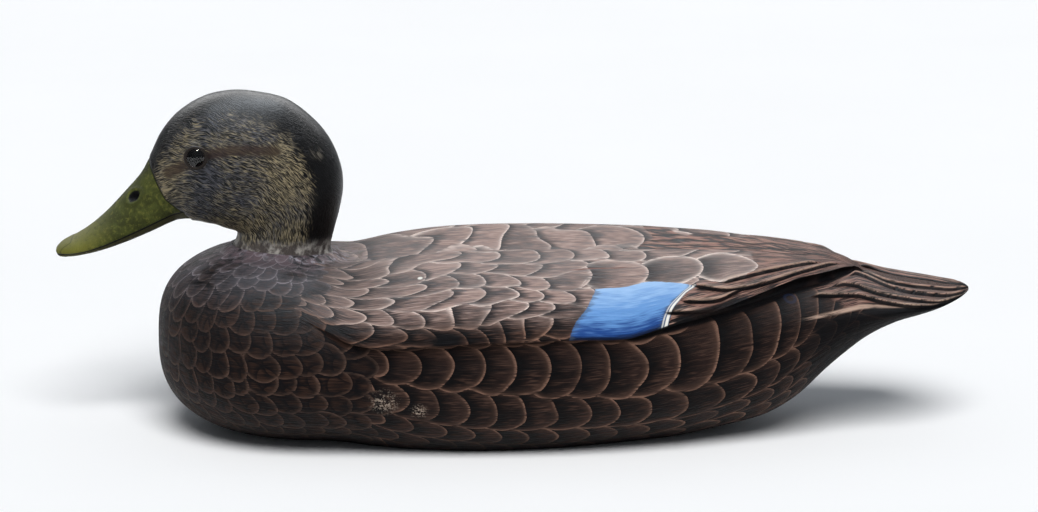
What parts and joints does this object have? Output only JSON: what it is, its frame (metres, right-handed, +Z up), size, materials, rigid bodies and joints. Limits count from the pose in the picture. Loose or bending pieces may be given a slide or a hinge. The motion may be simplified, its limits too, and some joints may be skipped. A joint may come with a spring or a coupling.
{
  "type": "duck decoy",
  "caption": "Carved and painted wooden black duck decoy with folded wings, fanned tail, separate head and glass eyes, on a flat bottom.",
  "frame": {"origin": "on the flat underside, halfway between the tip of the bill and the tip of the tail, on the midline", "axes": "-X towards the bill and +X towards the tail, +Z up from the flat underside, the left side of the bird facing -Y"},
  "size_m": [0.445, 0.1674, 0.166],
  "materials": {
    "painted_body": "oil paint in dark browns with lighter feather edges and a blue wing patch, satin and worn",
    "painted_head": "oil paint, tan with fine dark strokes, near black crown and nape, olive green bill, satin and worn",
    "eye_glass": "clear polished glass over a dark painted iris and a black pupil"
  },
  "bodies": {
    "root": {"body": "painted_body", "head": "painted_head", "eye_left": "eye_glass", "eye_right": "eye_glass"}
  },
  "joints": []
}
